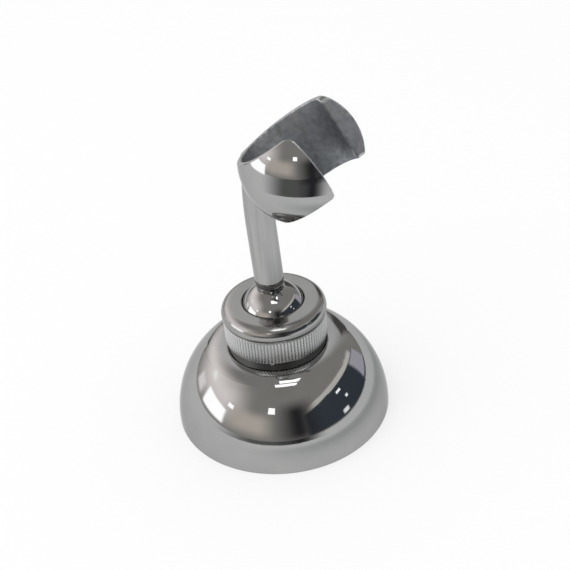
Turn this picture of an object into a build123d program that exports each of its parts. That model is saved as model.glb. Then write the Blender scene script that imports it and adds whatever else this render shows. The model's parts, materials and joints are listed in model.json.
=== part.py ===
from build123d import *
from math import asin, atan2, cos, degrees, pi, radians, sin, sqrt, tan
import os

# Hand shower holder: a slotted cup on a rod, turned and tilted in a ball joint on a domed base.
# Millimetres and degrees. The origin is the centre of the wall face, +Z runs out along the base's axis,
# and the cup's slot faces +X.

# Domed base
base_diameter = 60.0
cover_wall = 1.4
dome_round = 27.8         # radius of the dome's side, a little less than the base's
shoulder_angle = 51.0     # the side rises this far, seen from its round's centre, up to the tighter shoulder
dome_ledge = 0.45         # flat of the dome that shows outside the knurl
plate_thickness = 2.5
plate_gap = 0.3           # between the wall plate's edge and the cover
screw_circle = 40.0
screw_hole_diameter = 4.6
screw_head_diameter = 8.6
screw_count = 3
hub_wall = 3.5
hub_gap = 1.5             # left between the hub and the socket body for drawing the cover tight

# Socket body
stem_diameter = 14.0
stem_end_gap = 1.0        # the stem stops short of the wall
socket_floor = 3.5
collar_height = 1.5
collar_lip = 1.6
boss_wall = 2.4
boss_top_gap = 0.5        # left above the boss for tightening the nut
thread_clearance = 0.1
cover_hole_clearance = 0.1

# Ball joint
ball_diameter = 18.3
ball_depth = 4.0          # from the nut's face down to the ball's centre
ball_fit = 0.06
ball_floor_gap = 0.5
socket_gap = 0.4          # between the ball and the boss
seat_hole_diameter = 8.6
seat_height = 5.6
seat_fit = 0.06

# Clamp nut
nut_wall = 1.8
knurl_height = 6.7
knurl_depth = 0.3
knurl_pitch = 0.94
bead_height = 4.7
bead_radius = 2.9
bead_overhang = 0.25      # of the bead over the knurl's crests
bead_groove = 0.25
mouth_gap = 0.3           # the dark ring round the ball
mouth_chamfer = 0.2
nut_shoulder = 1.0        # from the knurl's top up to the end of the thread

# Arm: stud, rod and cup are one casting
stud_diameter = 4.4
stud_length = 7.7
stud_fit = 0.05
stud_end_gap = 0.5
rod_diameter = 7.9
neck_diameter = 6.8
neck_margin = 0.4         # flat of the ball outside the neck
taper_length = 3.5
bend_start = 26.9         # from the ball's centre up the rod
bend_overrun = 1.7        # the bent rod runs on past the rim's plane, which trims it

cup_height = 49.9         # from the ball's centre up the rod to the cup's centre
cup_inset = 2.15          # of the cup's back from the straight rod's outer line
spine_proud = 0.45        # the bent rod still stands out from the cup's back by this at the cup's middle
cup_tilt = 33.7           # of the cup's axis from the rod, away from the slot
cup_above = 9.0           # upper rim from the cup's centre, along the cup's axis
cup_below = 9.2
bore_upper_diameter = 24.3
bore_lower_diameter = 22.5
rim_width = 1.3           # of the upper rim, outside the bore
slot_half_angle = 37.0
slot_apex = 4.6           # how far behind the cup's axis the slot's two faces would meet
blend_radius = 2.0        # between the rod and the cup
upper_tip_radius = 2.1
lower_tip_radius = 1.0
edge_round = 0.35

# Pose of the arm in the ball joint
arm_lean = 2.0
lean_heading = -131.0     # direction of the lean, from +X towards +Y

# Sizes that follow
base_radius = base_diameter / 2
ball_radius = ball_diameter / 2
rod_radius = rod_diameter / 2
neck_radius = neck_diameter / 2
stem_radius = stem_diameter / 2
cup_radius = sqrt((bore_upper_diameter / 2 + rim_width)**2 + cup_above**2)

socket_radius = ball_radius + socket_gap
boss_radius = socket_radius + boss_wall
collar_radius = boss_radius + collar_lip
nut_bore_radius = boss_radius + thread_clearance
knurl_root_radius = nut_bore_radius + nut_wall
knurl_crest_radius = knurl_root_radius + knurl_depth
bead_outer_radius = knurl_crest_radius + bead_overhang
knurl_count = round(2 * pi * knurl_crest_radius / knurl_pitch)

dome_offset = base_radius - dome_round      # of the round's centre from the base's axis
dome_flat_radius = knurl_crest_radius + dome_ledge
shoulder_offset = dome_flat_radius - dome_offset
shoulder_radius = dome_round - shoulder_offset / cos(radians(shoulder_angle))
shoulder_centre_z = shoulder_offset * tan(radians(shoulder_angle))
dome_top = shoulder_centre_z + shoulder_radius

nut_bottom = dome_top + collar_height
knurl_top = nut_bottom + knurl_height
nut_top = knurl_top + bead_height
ball_z = nut_top - ball_depth
nut_thread_top = knurl_top + nut_shoulder
socket_floor_z = ball_z - ball_radius - ball_floor_gap
socket_bottom = socket_floor_z - socket_floor
hub_top = socket_bottom - hub_gap

neck_flat_radius = neck_radius + neck_margin
neck_z = sqrt(ball_radius**2 - neck_flat_radius**2)
cup_offset = cup_inset + cup_radius - rod_radius
cut_margin = 1.0          # by which cutters run past what they cut
tiny = 0.001              # tolerance for finding the edges that lie in a plane

on_base = (Align.CENTER, Align.CENTER, Align.MIN)
hanging = (Align.CENTER, Align.CENTER, Align.MAX)


def sphere_height(radius, reach):
    """Height of a sphere's surface above its centre, at a distance from its axis."""
    return sqrt(radius**2 - reach**2)


def arc_point(centre, radius, angle):
    return (centre[0] + radius * cos(radians(angle)), centre[1] + radius * sin(radians(angle)))


def round_arc(centre, radius, start, end):
    """An arc of the half profile, between two angles from the outward direction."""
    middle = (start + end) / 2
    return ThreePointArc(*[arc_point(centre, radius, angle) for angle in (start, middle, end)])


def turned(*edges):
    """Turns a closed half profile, drawn as radius and height, about Z."""
    return revolve(Plane.XZ * make_face(edges), Axis.Z)


def dome_cover():
    """Polished shell: a round side, a tighter shoulder and a flat top with the hole for the socket body."""
    side = (dome_offset, 0)
    shoulder = (dome_flat_radius, shoulder_centre_z)
    hole_radius = boss_radius + cover_hole_clearance
    inner_radius = base_radius - cover_wall
    inner_top = dome_top - cover_wall
    return turned(
        round_arc(side, dome_round, 0, shoulder_angle),
        round_arc(shoulder, shoulder_radius, shoulder_angle, 90),
        Polyline((dome_flat_radius, dome_top), (hole_radius, dome_top), (hole_radius, inner_top),
                 (dome_flat_radius, inner_top)),
        round_arc(shoulder, shoulder_radius - cover_wall, 90, shoulder_angle),
        round_arc(side, dome_round - cover_wall, shoulder_angle, 0),
        Line((inner_radius, 0), (base_radius, 0)),
    )


def wall_plate():
    """Disc inside the cover, with a threaded hub for the stem and countersunk screw holes."""
    edge_radius = dome_offset + sphere_height(dome_round - cover_wall, plate_thickness) - plate_gap
    hub_bore_radius = stem_radius + thread_clearance
    hub_radius = hub_bore_radius + hub_wall
    plate = turned(
        Polyline((hub_bore_radius, 0), (edge_radius, 0), (edge_radius, plate_thickness),
                 (hub_radius, plate_thickness), (hub_radius, hub_top), (hub_bore_radius, hub_top),
                 close=True),
    )
    hole_radius = screw_hole_diameter / 2
    head_radius = screw_head_diameter / 2
    head_depth = head_radius - hole_radius
    hole = Cylinder(hole_radius, plate_thickness + 2 * cut_margin, align=on_base)
    head = Cone(hole_radius, head_radius, head_depth, align=hanging)
    screw = Pos(0, 0, -cut_margin) * hole + Pos(0, 0, plate_thickness) * head
    return plate - PolarLocations(screw_circle / 2, screw_count) * screw


def socket_body():
    """Turned body: a stem into the hub, a collar on the cover and a threaded boss round the ball."""
    boss_top = nut_thread_top - boss_top_gap
    return turned(
        Polyline((0, stem_end_gap), (stem_radius, stem_end_gap), (stem_radius, socket_bottom),
                 (boss_radius, socket_bottom), (boss_radius, dome_top), (collar_radius, dome_top),
                 (collar_radius, nut_bottom), (boss_radius, nut_bottom), (boss_radius, boss_top),
                 (socket_radius, boss_top), (socket_radius, socket_floor_z), (0, socket_floor_z),
                 close=True),
    )


def ball_seat():
    """Plastic ring on the socket's floor, hollowed to the ball."""
    hole_radius = seat_hole_diameter / 2
    outer_radius = socket_radius - seat_fit
    hollow_radius = ball_radius + ball_fit
    top = socket_floor_z + seat_height
    ring = turned(
        Polyline((hole_radius, socket_floor_z), (outer_radius, socket_floor_z), (outer_radius, top),
                 (hole_radius, top), close=True),
    )
    return ring - Pos(0, 0, ball_z) * Sphere(hollow_radius)


def clamp_nut():
    """Ring nut: a straight knurl below a rounded bead, with a spherical seat that holds the ball down."""
    step = pi / knurl_count
    outline = []
    for ridge in range(knurl_count):
        crest = 2 * ridge * step
        root = crest + step
        outline.append((knurl_crest_radius * cos(crest), knurl_crest_radius * sin(crest)))
        outline.append((knurl_root_radius * cos(root), knurl_root_radius * sin(root)))
    ridges = extrude(Pos(0, 0, nut_bottom) * make_face(Polyline(*outline, close=True)), knurl_height)
    band = turned(
        Polyline((0, nut_bottom), (knurl_root_radius, nut_bottom),
                 (knurl_crest_radius, nut_bottom + knurl_depth),
                 (knurl_crest_radius, knurl_top - knurl_depth), (knurl_root_radius, knurl_top),
                 (0, knurl_top), close=True),
    )

    bead_centre = (bead_outer_radius - bead_radius, nut_top - bead_radius)
    bead_low = knurl_top + bead_groove
    bead_low_angle = degrees(asin((bead_low - bead_centre[1]) / bead_radius))
    bead_low_radius = bead_centre[0] + bead_radius * cos(radians(bead_low_angle))
    bead = turned(
        Polyline((bead_centre[0], nut_top), (0, nut_top), (0, knurl_top), (knurl_root_radius, knurl_top),
                 (knurl_root_radius, bead_low), (bead_low_radius, bead_low)),
        round_arc(bead_centre, bead_radius, bead_low_angle, 90),
    )

    mouth_radius = sphere_height(ball_radius, ball_depth) + mouth_gap
    seat_radius = ball_radius + ball_fit
    mouth_low = ball_z + sphere_height(seat_radius, mouth_radius)
    seat_low_radius = sphere_height(seat_radius, nut_thread_top - ball_z)
    hollow = turned(
        Polyline((mouth_radius, mouth_low), (mouth_radius, nut_top - mouth_chamfer),
                 (mouth_radius + mouth_chamfer + cut_margin, nut_top + cut_margin),
                 (0, nut_top + cut_margin), (0, nut_bottom - cut_margin),
                 (nut_bore_radius, nut_bottom - cut_margin), (nut_bore_radius, nut_thread_top),
                 (seat_low_radius, nut_thread_top)),
        round_arc((0, ball_z), seat_radius,
                  degrees(atan2(nut_thread_top - ball_z, seat_low_radius)),
                  degrees(atan2(mouth_low - ball_z, mouth_radius))),
    )
    return (ridges & band) + bead - hollow


def pivot_ball():
    """Ball with a flat for the rod's neck and a blind hole for its stud, centred on the origin."""
    hole_radius = stud_diameter / 2 + stud_fit
    hole_depth = stud_length + stud_end_gap
    flat = Pos(0, 0, neck_z) * Cylinder(ball_radius, ball_radius, align=on_base)
    hole = Pos(0, 0, neck_z) * Cylinder(hole_radius, hole_depth, align=hanging)
    return Sphere(ball_radius) - flat - hole


def arm_rod():
    """Stud, tapered neck and straight rod, then a gentle bend that carries the rod into the cup's back."""
    stud_radius = stud_diameter / 2
    taper_top = neck_z + taper_length
    waist = rod_radius - neck_radius
    taper_radius = (taper_length**2 + waist**2) / (2 * waist)
    taper_angle = degrees(asin(taper_length / taper_radius))
    rod = turned(
        Polyline((0, bend_start), (0, neck_z - stud_length), (stud_radius, neck_z - stud_length),
                 (stud_radius, neck_z), (neck_radius, neck_z)),
        round_arc((rod_radius - taper_radius, taper_top), taper_radius, -taper_angle, 0),
        Polyline((rod_radius, taper_top), (rod_radius, bend_start), (0, bend_start)),
    )
    rise = cup_height - bend_start
    shift = cup_inset - spine_proud
    bend_radius = (rise**2 + shift**2) / (2 * shift)
    bend_rise = rise + bend_overrun
    bend_shift = bend_radius - sqrt(bend_radius**2 - bend_rise**2)
    bend = TangentArc((0, 0, bend_start), (bend_shift, 0, bend_start + bend_rise), tangent=(0, 0, 1))
    section = Pos(0, 0, bend_start) * Rot(0, 0, 180) * Circle(rod_radius)   # its seam is at the rod's back
    return rod + sweep(section, bend)


def cradle_arm():
    """The rod with its cup, a ball cut off at two rims, bored to a taper and slotted.

    The cup is shaped in its own frame, with its axis along Z and the slot facing +X. The whole is then
    placed with the pivot ball's centre at the origin.
    """
    place = Pos(cup_offset, 0, cup_height) * Rot(0, -cup_tilt, 0)
    reach = 4 * cup_radius
    height = cup_above + cup_below
    above = Pos(0, 0, cup_above) * Box(reach, reach, reach, align=on_base)
    below = Pos(0, 0, -cup_below) * Box(reach, reach, reach, align=hanging)
    taper = Cone(bore_lower_diameter / 2, bore_upper_diameter / 2, height, align=on_base)
    bore = Pos(0, 0, -cup_below) * taper
    slot_half_width = reach * tan(radians(slot_half_angle))
    slot_plan = Polyline((-slot_apex, 0), (reach - slot_apex, slot_half_width),
                         (reach - slot_apex, -slot_half_width), close=True)
    slot = extrude(Pos(0, 0, -cup_below - cut_margin) * make_face(slot_plan), height + 2 * cut_margin)

    rod = place.inverse() * arm_rod()
    ball = Sphere(cup_radius) - below
    blank = rod + ball
    seams = new_edges(rod, ball, combined=blank).filter_by(GeomType.BSPLINE)
    arm = fillet(seams, blend_radius) - above - bore - slot

    for rim_z, tip_radius in ((cup_above, upper_tip_radius), (-cup_below, lower_tip_radius)):
        tips = arm.edges().filter_by(GeomType.LINE).filter_by_position(Axis.Z, rim_z - tiny, rim_z + tiny)
        arm = fillet(tips, tip_radius)
    flats = [face for face in arm.faces().filter_by(GeomType.PLANE) if face.center().length < cup_radius]
    sharp = [edge for face in flats for edge in face.edges() if edge.geom_type != GeomType.LINE]
    return place * fillet(sharp, edge_round)


lean = Rot(0, 0, lean_heading) * Rot(0, arm_lean, 0) * Rot(0, 0, -lean_heading)
arm_place = Pos(0, 0, ball_z) * lean

nodes = {
    "dome_cover": dome_cover(),
    "wall_plate": wall_plate(),
    "socket_body": socket_body(),
    "ball_seat": ball_seat(),
    "clamp_nut": clamp_nut(),
    "pivot_ball": arm_place * pivot_ball(),
    "cradle_arm": arm_place * cradle_arm(),
}

os.makedirs("parts", exist_ok=True)
for name, solid in nodes.items():
    export_step(solid, f"parts/{name}.step")
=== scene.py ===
import bpy
import json
from math import cos, radians, sin, sqrt, tan
from mathutils import Matrix, Vector


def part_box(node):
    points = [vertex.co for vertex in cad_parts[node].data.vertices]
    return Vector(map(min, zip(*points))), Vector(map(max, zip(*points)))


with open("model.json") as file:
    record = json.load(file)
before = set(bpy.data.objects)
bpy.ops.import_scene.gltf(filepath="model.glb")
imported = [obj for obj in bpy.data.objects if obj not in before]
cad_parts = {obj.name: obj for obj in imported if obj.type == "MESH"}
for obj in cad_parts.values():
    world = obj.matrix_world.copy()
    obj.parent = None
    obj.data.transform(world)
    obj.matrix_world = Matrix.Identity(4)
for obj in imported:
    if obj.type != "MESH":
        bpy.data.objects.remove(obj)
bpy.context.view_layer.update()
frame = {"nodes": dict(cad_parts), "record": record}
nodes = frame["nodes"]
scene = bpy.context.scene

# Lengths are in metres and angles in degrees. The base's radius is the unit for the view and the studio.
base_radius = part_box("dome_cover")[1][0]

# View of the photograph
view_turn = 27.09         # the camera's place, from -Y towards +X
view_rise = 35.34
view_roll = 5.87
view_distance = 10.9 * base_radius
view_target = Vector((0.1088, 0.0557, 1.3486)) * base_radius
lens_mm = 76.86
sensor_mm = 36.0
clip_start = 0.01
clip_end = 50.0

# Cup of the arm: its axis is the cradle's, and its slot faces +X as far as the axis lets it
cradle = next(mount for mount in frame["record"]["mounts"] if mount["name"] == "handset_cradle")
cup_axis = Vector(cradle["axis"]).normalized()
cup_slot = (Vector((1, 0, 0)) - cup_axis * cup_axis.x).normalized()
cup_frame = Matrix((cup_slot, cup_axis.cross(cup_slot), cup_axis)).transposed()
cup_above = 0.0090        # upper rim from the cup's centre, along the cup's axis
cup_below = 0.0092
bore_upper_radius = 0.01215
bore_lower_radius = 0.01125
rim_width = 0.0013        # of the upper rim, outside the bore
slot_half_angle = 37.0
slot_apex = 0.0046        # how far behind the cup's axis the slot's two faces would meet
slot_slope = tan(radians(slot_half_angle))
bore_flare = (bore_upper_radius - bore_lower_radius) / (cup_above + cup_below)
bore_radius = bore_lower_radius + bore_flare * cup_below      # at the cup's centre
cup_radius = sqrt((bore_upper_radius + rim_width)**2 + cup_above**2)

# Nut: the bead is its widest part and stands on the knurl
nut_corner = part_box("clamp_nut")[1]
bead_height = 0.0047
bead_overhang = 0.00025
knurl_depth = 0.0003
knurl_top = nut_corner[2] - bead_height
knurl_crest = nut_corner[0] - bead_overhang
knurl_root = knurl_crest - knurl_depth

# Tones of each finish, from its dimmest to its brightest places. The socket body's tones and the knurl's
# hold painted shade, and the knurl's crests a painted highlight.
plated_tones = ((0.36, 0.363, 0.365), (0.40, 0.40, 0.395))
# Socket body: chrome painted dark all over, as painted shade for the gap under the nut
gap_shade_tones = ((0.17, 0.18, 0.185), (0.22, 0.23, 0.23))
turned_tones = ((0.32, 0.32, 0.315), (0.36, 0.36, 0.355))
# Knurl: painted shade in the grooves, rising to a painted highlight on the crests
knurl_shade_and_highlight_tones = ((0.38, 0.385, 0.39), (0.65, 0.65, 0.65))
casting_tones = ((0.28, 0.30, 0.32), (0.50, 0.52, 0.55))
steel_tones = ((0.42, 0.42, 0.43), (0.58, 0.58, 0.58))
plastic_tones = ((0.035, 0.035, 0.04), (0.06, 0.06, 0.065))
edge_tint = (0.7, 0.7, 0.7, 1)      # of metal seen edge-on
smudge_size = 0.010

# Floor and world. The floor is seen with a share of plain white.
floor_half_width = 20.0
floor_colour = 0.92
floor_white = 0.65
world_light = 0.85

# Key lamp
key_power = 8.0
key_diameter = 1.6
key_distance = 1.6
key_azimuth = -60
key_elevation = 62

# Studio round the object, seen only in its reflections. Its lengths are in base radii.
room_radius = 30
lamp_height = 24
table_edge = 4
panel_facing = 62
panel_distance = 12
window_facing = -88
window_distance = 14
sheet_steps = 40
white = (1, 1, 1)

# Sockets of a Mix node for each kind of value: its two inputs and its output
mix_sockets = {"FLOAT": (2, 3, 0), "VECTOR": (4, 5, 1), "RGBA": (6, 7, 2)}


def toward(azimuth, elevation):
    """Direction seen from the object: azimuth 0 is the camera's side and positive is to its right."""
    turn = radians(view_turn + azimuth)
    rise = radians(elevation)
    return Vector((sin(turn) * cos(rise), -cos(turn) * cos(rise), sin(rise)))


def make_camera():
    back = toward(0, view_rise)
    level_right = toward(90, 0)
    level_up = back.cross(level_right)
    roll = radians(view_roll)
    right = cos(roll) * level_right - sin(roll) * level_up
    up = sin(roll) * level_right + cos(roll) * level_up
    camera = bpy.data.objects.new("camera", bpy.data.cameras.new("camera"))
    scene.collection.objects.link(camera)
    camera.data.lens = lens_mm
    camera.data.sensor_width = sensor_mm
    camera.data.clip_start = clip_start
    camera.data.clip_end = clip_end
    place = Matrix((right, up, back)).transposed().to_4x4()
    place.translation = view_target + back * view_distance
    camera.matrix_world = place
    scene.camera = camera


def new_material(name):
    material = bpy.data.materials.new(name)
    material.use_nodes = True
    tree = material.node_tree
    return material, tree, tree.nodes["Principled BSDF"]


def new_metal(name):
    """Metal that mirrors a little less than usual where it is seen edge-on."""
    material, tree, shader = new_material(name)
    shader.inputs["Metallic"].default_value = 1.0
    shader.inputs["Specular Tint"].default_value = edge_tint
    return material, tree, shader


def add(tree, kind, values=None, **settings):
    """A shader node. Values may be numbers or the outputs of other nodes."""
    node = tree.nodes.new("ShaderNode" + kind)
    for key, value in settings.items():
        setattr(node, key, value)
    for key, value in (values or {}).items():
        if isinstance(value, bpy.types.NodeSocket):
            tree.links.new(value, node.inputs[key])
        else:
            node.inputs[key].default_value = value
    return node


def calculate(tree, operation, first, second=0.0, third=0.0):
    return add(tree, "Math", {0: first, 1: second, 2: third}, operation=operation).outputs[0]


def on_object(tree):
    """The place in the object's own frame, which a pose moves along with it."""
    return add(tree, "TexCoord").outputs["Object"]


def apart(tree, vector):
    node = add(tree, "SeparateXYZ", {"Vector": vector})
    return [node.outputs[axis] for axis in "XYZ"]


def together(tree, x, y, z=0.0):
    return add(tree, "CombineXYZ", {"X": x, "Y": y, "Z": z}).outputs["Vector"]


def length(tree, vector):
    return add(tree, "VectorMath", {0: vector}, operation="LENGTH").outputs["Value"]


def scaled(tree, colour, share):
    return add(tree, "VectorMath", {0: colour, "Scale": share}, operation="SCALE").outputs["Vector"]


def pattern(tree, place, grain, detail):
    """Noise with its grain size in metres."""
    return add(tree, "TexNoise", {"Vector": place, "Scale": 1 / grain, "Detail": detail}).outputs["Fac"]


def noise(tree, grain, detail=3.0, stretch=(1, 1, 1)):
    """Noise fixed to the object. A stretch below 1 draws it out along that axis."""
    place = add(tree, "Mapping", {"Vector": on_object(tree), "Scale": stretch}).outputs["Vector"]
    return pattern(tree, place, grain, detail)


def ranged(tree, value, low, high, start=0.3, end=0.7):
    """Goes from low to high as the value goes from start to end."""
    values = {"Value": value, "From Min": start, "From Max": end, "To Min": low, "To Max": high}
    return add(tree, "MapRange", values).outputs["Result"]


def ramp(tree, value, tones, start=0.3, end=0.7):
    """Goes from the first tone to the second as the value goes from start to end."""
    node = add(tree, "ValToRGB", {"Fac": value})
    for element, position, tone in zip(node.color_ramp.elements, (start, end), tones):
        element.position = position
        element.color = (*tone, 1)
    return node.outputs["Color"]


def blend(tree, share, first, second, kind="RGBA"):
    """The first where share is 0 and the second where it is 1."""
    first_input, second_input, output = mix_sockets[kind]
    values = {0: share, first_input: first, second_input: second}
    return add(tree, "Mix", values, data_type=kind).outputs[output]


def bump(tree, relief, height, below=None):
    """Normal of a relief with its height in metres, on top of the normal below."""
    values = {"Height": relief, "Strength": 1.0, "Distance": height}
    if below is not None:
        values["Normal"] = below
    return add(tree, "Bump", values).outputs["Normal"]


def connect(tree, shader, colour, roughness, normal):
    tree.links.new(colour, shader.inputs["Base Color"])
    tree.links.new(roughness, shader.inputs["Roughness"])
    tree.links.new(normal, shader.inputs["Normal"])


def polish(tree):
    """Slight unevenness under the plating, with fine marks of polishing."""
    waves = bump(tree, noise(tree, grain=0.006, detail=1.0), height=0.000006)
    return bump(tree, noise(tree, grain=0.0004, detail=2.0), height=0.0000006, below=waves)


def plating(tree, tones):
    """Polished chrome with faint smudges in its colour and gloss."""
    smudge = noise(tree, grain=smudge_size)
    return ramp(tree, smudge, tones), ranged(tree, smudge, low=0.02, high=0.06), polish(tree)


def chrome(name, tones):
    material, tree, shader = new_metal(name)
    connect(tree, shader, *plating(tree, tones))
    return material


def turned_chrome():
    """Chrome over fine turning rings on the nut's face and bead, and a duller knurl with painted shade in
    its grooves and painted highlights on its crests.
    """
    material, tree, shader = new_metal("turned_chrome")
    x, y, z = apart(tree, on_object(tree))
    radius = length(tree, together(tree, x, y))
    rings = pattern(tree, together(tree, radius, z), grain=0.00025, detail=1.0)

    bead_edge = 0.0001
    knurl_edge = 0.000025
    on_bead = ranged(tree, z, low=0, high=1, start=knurl_top - bead_edge, end=knurl_top)
    # Painted shade in the knurl's grooves, rising to a painted highlight on its crests
    groove_shade_share = ranged(tree, radius, low=0, high=1, start=knurl_root + knurl_edge, end=knurl_crest - knurl_edge)
    knurl_shade_and_highlight_colour = ramp(tree, groove_shade_share, knurl_shade_and_highlight_tones, start=0, end=1)
    knurl_roughness = ranged(tree, rings, low=0.24, high=0.34)
    bead_colour = ramp(tree, noise(tree, grain=smudge_size), turned_tones)
    bead_roughness = ranged(tree, rings, low=0.11, high=0.19)

    connect(tree, shader, blend(tree, on_bead, knurl_shade_and_highlight_colour, bead_colour),
            blend(tree, on_bead, knurl_roughness, bead_roughness, "FLOAT"),
            bump(tree, rings, height=0.0000015, below=polish(tree)))
    return material


def cast_chrome():
    """Chrome with lengthwise light and dark streaks in its colour along the rod, and plating over the rough
    casting inside the cup.
    """
    material, tree, shader = new_metal("cast_chrome")
    smooth, roughness, normal = plating(tree, plated_tones)
    turn = {"Vector": on_object(tree), "Location": cradle["pos_m"], "Rotation": cup_frame.to_euler()}
    in_cup = add(tree, "Mapping", turn, vector_type="TEXTURE").outputs["Vector"]
    x, y, z = apart(tree, in_cup)

    streak_fade = 0.004
    past_cup = calculate(tree, "SUBTRACT", length(tree, in_cup), cup_radius)
    on_rod = ranged(tree, past_cup, low=0, high=1, start=0, end=streak_fade)
    streak = noise(tree, grain=0.0011, detail=2.0, stretch=(1, 1, 0.03))
    streak_tone = ranged(tree, streak, low=-0.14, high=0.08)
    colour = scaled(tree, smooth, calculate(tree, "MULTIPLY_ADD", on_rod, streak_tone, 1.0))

    # The casting shows on the bore and on the slot's faces, up to a narrow edge
    bore = calculate(tree, "MULTIPLY_ADD", z, bore_flare, bore_radius)
    past_bore = calculate(tree, "SUBTRACT", length(tree, together(tree, x, y)), bore)
    inside = ranged(tree, past_bore, low=1, high=0, start=0.0002, end=0.0006)
    slot_face = calculate(tree, "MULTIPLY_ADD", x, slot_slope, slot_apex * slot_slope)
    past_slot = calculate(tree, "SUBTRACT", calculate(tree, "ABSOLUTE", y), slot_face)
    on_slot = ranged(tree, calculate(tree, "ABSOLUTE", past_slot), low=1, high=0, start=0.0003, end=0.0006)
    rough = calculate(tree, "MAXIMUM", inside, on_slot)

    # Painted light: the slot's faces are painted lighter than the bore, and the line between them is
    # painted darker as painted shade
    mottle = noise(tree, grain=0.0016, detail=8.0)
    casting = ramp(tree, mottle, casting_tones, start=0.32, end=0.68)
    # Painted light on the slot's faces, and painted shade along their edge with the bore
    slot_light_and_shade = ranged(tree, inside, low=0.45, high=-0.15, start=0, end=1)
    casting_and_slot_light = scaled(tree, casting, calculate(tree, "MULTIPLY_ADD", on_slot, slot_light_and_shade, 1.0))
    cast_roughness = ranged(tree, mottle, low=0.52, high=0.40)
    pits = bump(tree, noise(tree, grain=0.0012), height=0.00006)
    cast_normal = bump(tree, noise(tree, grain=0.00035, detail=2.0), height=0.00001, below=pits)

    connect(tree, shader, blend(tree, rough, colour, casting_and_slot_light),
            blend(tree, rough, roughness, cast_roughness, "FLOAT"),
            blend(tree, rough, normal, cast_normal, "VECTOR"))
    return material


def plate_steel():
    """Brushed steel, with its grain along X."""
    material, tree, shader = new_metal("plate_steel")
    grain = noise(tree, grain=0.0006, stretch=(0.04, 1, 1))
    connect(tree, shader, ramp(tree, grain, steel_tones), ranged(tree, grain, low=0.28, high=0.42),
            bump(tree, grain, height=0.000004))
    return material


def seat_plastic():
    """Black moulded plastic with a fine matt grain."""
    material, tree, shader = new_material("seat_plastic")
    grain = noise(tree, grain=0.0005, detail=4.0)
    connect(tree, shader, ramp(tree, noise(tree, grain=0.004), plastic_tones),
            ranged(tree, grain, low=0.45, high=0.6), bump(tree, grain, height=0.00001))
    return material


def glow(name, colour, strength):
    """Light that fades out towards a sheet's edges."""
    material, tree, shader = new_material(name)
    tree.nodes.remove(shader)
    light = add(tree, "Emission", {"Color": (*colour, 1), "Strength": strength}).outputs[0]
    clear = add(tree, "BsdfTransparent").outputs[0]
    share = add(tree, "Attribute", attribute_name="fade").outputs["Fac"]
    mixed = add(tree, "MixShader", {0: share, 1: clear, 2: light}).outputs[0]
    tree.links.new(mixed, tree.nodes["Material Output"].inputs["Surface"])
    return material


def staged(name, vertices, faces, material):
    mesh = bpy.data.meshes.new(name)
    mesh.from_pydata(vertices, [], faces)
    mesh.materials.append(material)
    thing = bpy.data.objects.new(name, mesh)
    scene.collection.objects.link(thing)
    return thing


def between(span, share):
    return span[0] + (span[1] - span[0]) * share


def fade(share, soft):
    """1 inside a span, falling smoothly to 0 at both its ends over the given share of it."""
    if soft == 0:
        return 1.0
    rise = min(share / soft, (1 - share) / soft, 1)
    return rise * rise * (3 - 2 * rise)


def reflected(name, place, across, along, colour, strength, soft):
    """A glowing sheet that only mirrors see. Place gives its point from values in two spans."""
    vertices = []
    fades = []
    shares = [step / sheet_steps for step in range(sheet_steps + 1)]
    for v in shares:
        for u in shares:
            vertices.append(place(between(across, u), between(along, v)))
            fades.append(fade(u, soft[0]) * fade(v, soft[1]))
    faces = []
    row_length = sheet_steps + 1
    for row in range(sheet_steps):
        for column in range(sheet_steps):
            corner = row * row_length + column
            faces.append((corner, corner + 1, corner + 1 + row_length, corner + row_length))
    thing = staged(name, vertices, faces, glow(name, colour, strength))
    thing.data.attributes.new("fade", "FLOAT", "POINT").data.foreach_set("value", fades)
    thing.visible_camera = False
    thing.visible_diffuse = False
    thing.visible_shadow = False


def patch(name, azimuths, elevations, colour, strength=1.0, soft=(0, 0), nearer=0.95):
    """Part of the room's round wall and ceiling, at a share of the room's radius."""
    def on_room(azimuth, elevation):
        return toward(azimuth, elevation) * room_radius * nearer * base_radius
    reflected(name, on_room, azimuths, elevations, colour, strength, soft)


def wall(name, facing, distance, across, heights, colour, strength=1.0, soft=(0, 0)):
    """A flat sheet that stands square to an azimuth."""
    def on_wall(x, height):
        place = toward(facing, 0) * distance + toward(facing + 90, 0) * x + Vector((0, 0, height))
        return place * base_radius
    reflected(name, on_wall, across, heights, colour, strength, soft)


def ground(name, azimuths, radii, colour, soft, lift):
    """Part of the table or of the ground past its edge. The lift keeps sheets that overlap apart."""
    def on_ground(azimuth, radius):
        return toward(azimuth, 0) * radius * base_radius + Vector((0, 0, lift))
    reflected(name, on_ground, azimuths, radii, colour, 1.0, soft)


def ceiling(name, sideways, forward, strength):
    """A lamp overhead, with its spans to the camera's right and towards it as shares of its height."""
    def overhead(x, y):
        return (toward(90, 0) * x + toward(0, 0) * y + Vector((0, 0, 1))) * lamp_height * base_radius
    reflected(name, overhead, sideways, forward, white, strength, (0, 0))


def seen(tree):
    """1 for the rays of the camera and of mirrors, which see a white background, and 0 for the others."""
    path = add(tree, "LightPath").outputs
    mirrored = calculate(tree, "MAXIMUM", path["Is Glossy Ray"], path["Is Transmission Ray"])
    return calculate(tree, "MAXIMUM", path["Is Camera Ray"], mirrored)


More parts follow.
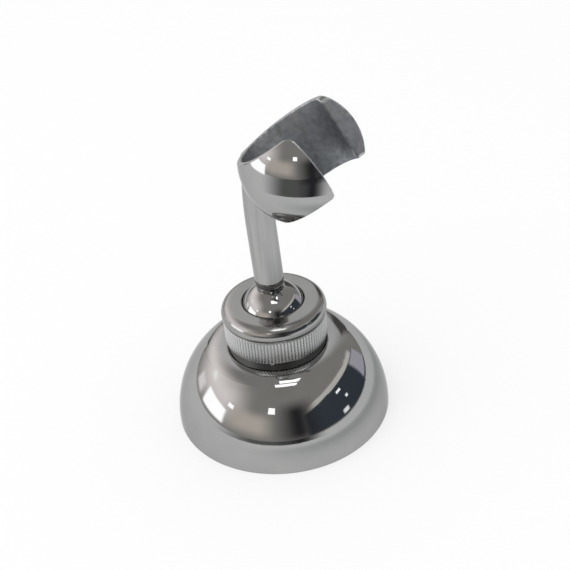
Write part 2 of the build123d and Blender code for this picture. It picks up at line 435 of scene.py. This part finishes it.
def make_floor():
    """Pale floor. The camera and mirrors see it as white, less part of its shadow."""
    material, tree, shader = new_material("floor")
    shader.inputs["Base Color"].default_value = (floor_colour, floor_colour, floor_colour, 1)
    shader.inputs["Roughness"].default_value = 0.9
    shader.inputs["Specular IOR Level"].default_value = 0.0
    plain = add(tree, "Emission", {"Color": (*white, 1), "Strength": 1.0}).outputs[0]
    share = calculate(tree, "MULTIPLY", seen(tree), floor_white)
    mixed = add(tree, "MixShader", {0: share, 1: shader.outputs[0], 2: plain}).outputs[0]
    tree.links.new(mixed, tree.nodes["Material Output"].inputs["Surface"])
    half = floor_half_width
    corners = [(-half, -half, 0), (half, -half, 0), (half, half, 0), (-half, half, 0)]
    staged("floor", corners, [(0, 1, 2, 3)], material)


def make_world():
    """Even white light. It is seen as bright as the far floor, so that the two meet without an edge."""
    scene.world = bpy.data.worlds.new("world")
    scene.world.use_nodes = True
    tree = scene.world.node_tree
    background = tree.nodes["Background"]
    background.inputs["Color"].default_value = (*white, 1)
    far_floor = floor_white + (1 - floor_white) * floor_colour * world_light
    strength = calculate(tree, "MULTIPLY_ADD", seen(tree), far_floor - world_light, world_light)
    tree.links.new(strength, background.inputs["Strength"])


def make_key_lamp():
    key = bpy.data.objects.new("key", bpy.data.lights.new("key", "AREA"))
    scene.collection.objects.link(key)
    key.data.energy = key_power
    key.data.shape = "DISK"
    key.data.size = key_diameter
    direction = toward(key_azimuth, key_elevation)
    key.location = direction * key_distance
    key.rotation_euler = direction.to_track_quat("Z", "Y").to_euler()
    key.visible_glossy = False
    key.visible_camera = False


def make_sheets():
    """Light and dark sheets all round, for the chrome to mirror."""
    # Round wall and ceiling, with lighter walls, dark posts and a dark sheet in front
    patch("room", (-180, 180), (0, 90), (0.42, 0.405, 0.385), nearer=1.0)
    patch("left_wall", (-184, -36), (-6, 60), (1.55, 1.45, 1.42), soft=(0.3, 0.5), nearer=0.99)
    patch("back_wall", (128, 232), (-1, 78), (0.85, 0.85, 0.85), soft=(0.4, 0.4), nearer=0.99)
    patch("front_wall", (-74, -8), (-1, 34), (0.92, 0.83, 0.74), soft=(0.35, 0.4), nearer=0.985)
    patch("right_post", (140, 166), (-1, 31), (0.14, 0.13, 0.12), soft=(0.3, 0.2), nearer=0.96)
    patch("left_post", (-160, -138), (-1, 10), (0.22, 0.24, 0.22), soft=(0.4, 0.4), nearer=0.96)
    patch("flag", (-18, 44), (-8, 48), (0.04, 0.04, 0.045), soft=(0.5, 0.3), nearer=0.35)

    # Dark panel on the right, with what stands a little behind and before it
    behind = panel_distance + 0.1
    before = panel_distance - 0.1
    foremost = panel_distance - 0.2
    wall("panel", panel_facing, panel_distance, (-10.8, 24), (0.4, 7.5), (0.070, 0.085, 0.105),
         soft=(0.04, 0.02))
    wall("panel_frame", panel_facing, behind, (-10.0, 22), (6.8, 9.4), (1.0, 0.96, 0.90), soft=(0.15, 0.25))
    wall("blind", panel_facing, before, (10.5, 25), (0.6, 7.4), (0.72, 0.70, 0.80), soft=(0.12, 0.1))
    wall("spot_low", panel_facing, foremost, (-0.2, 1.9), (0.7, 1.9), white, 1.8, soft=(0.3, 0.3))
    wall("spot_middle", panel_facing, foremost, (2.3, 3.0), (3.2, 3.8), white, 2.0)
    wall("spot_high", panel_facing, foremost, (0.9, 2.4), (5.5, 6.1), white, 2.2)

    # Windows on the left, and lamps
    wall("window", window_facing, window_distance, (-3.4, 5.6), (0.7, 5.2), white, 2.6, soft=(0.12, 0.15))
    wall("window_side", window_facing, window_distance, (-9.6, -3.8), (0.5, 4.4), (1, 0.98, 0.98), 1.5,
         soft=(0.3, 0.3))
    patch("window_high", (-116, -98), (22, 30), white, 1.8, soft=(0.4, 0.4))
    patch("window_small", (-70, -62), (22, 26), white, 2.6, soft=(0.1, 0.1))
    patch("lamp", (-20, -12), (31, 37), white, 3.0)
    ceiling("lamp_near", (-0.12, 0.26), (0.34, 0.56), 3.0)
    ceiling("lamp_far", (-0.04, 0.27), (0.09, 0.28), 3.0)

    # Ground past the table's edge, and the shade that the object leaves on the table
    past_table = (table_edge, room_radius)
    ground("ground", (-78, 40), past_table, (0.17, 0.18, 0.17), soft=(0.4, 0), lift=0.0005)
    ground("shade", (-16, 40), past_table, (0.04, 0.04, 0.045), soft=(0.5, 0), lift=0.001)
    ground("near_shade", (-60, 200), (0.8, 3.0), (0.62, 0.64, 0.64), soft=(0.45, 0.5), lift=0.0002)


make_camera()
scene.view_settings.view_transform = "Standard"

mirror = chrome("polished_chrome", plated_tones)
finishes = {
    "dome_cover": mirror,
    "pivot_ball": mirror,
    # The socket body is painted dark, as painted shade in the gap under the nut
    "socket_body": chrome("gap_shade_chrome", gap_shade_tones),
    "clamp_nut": turned_chrome(),
    "cradle_arm": cast_chrome(),
    "wall_plate": plate_steel(),
    "ball_seat": seat_plastic(),
}
for name, material in finishes.items():
    nodes[name].data.materials.clear()
    nodes[name].data.materials.append(material)

make_floor()
make_world()
make_key_lamp()
make_sheets()
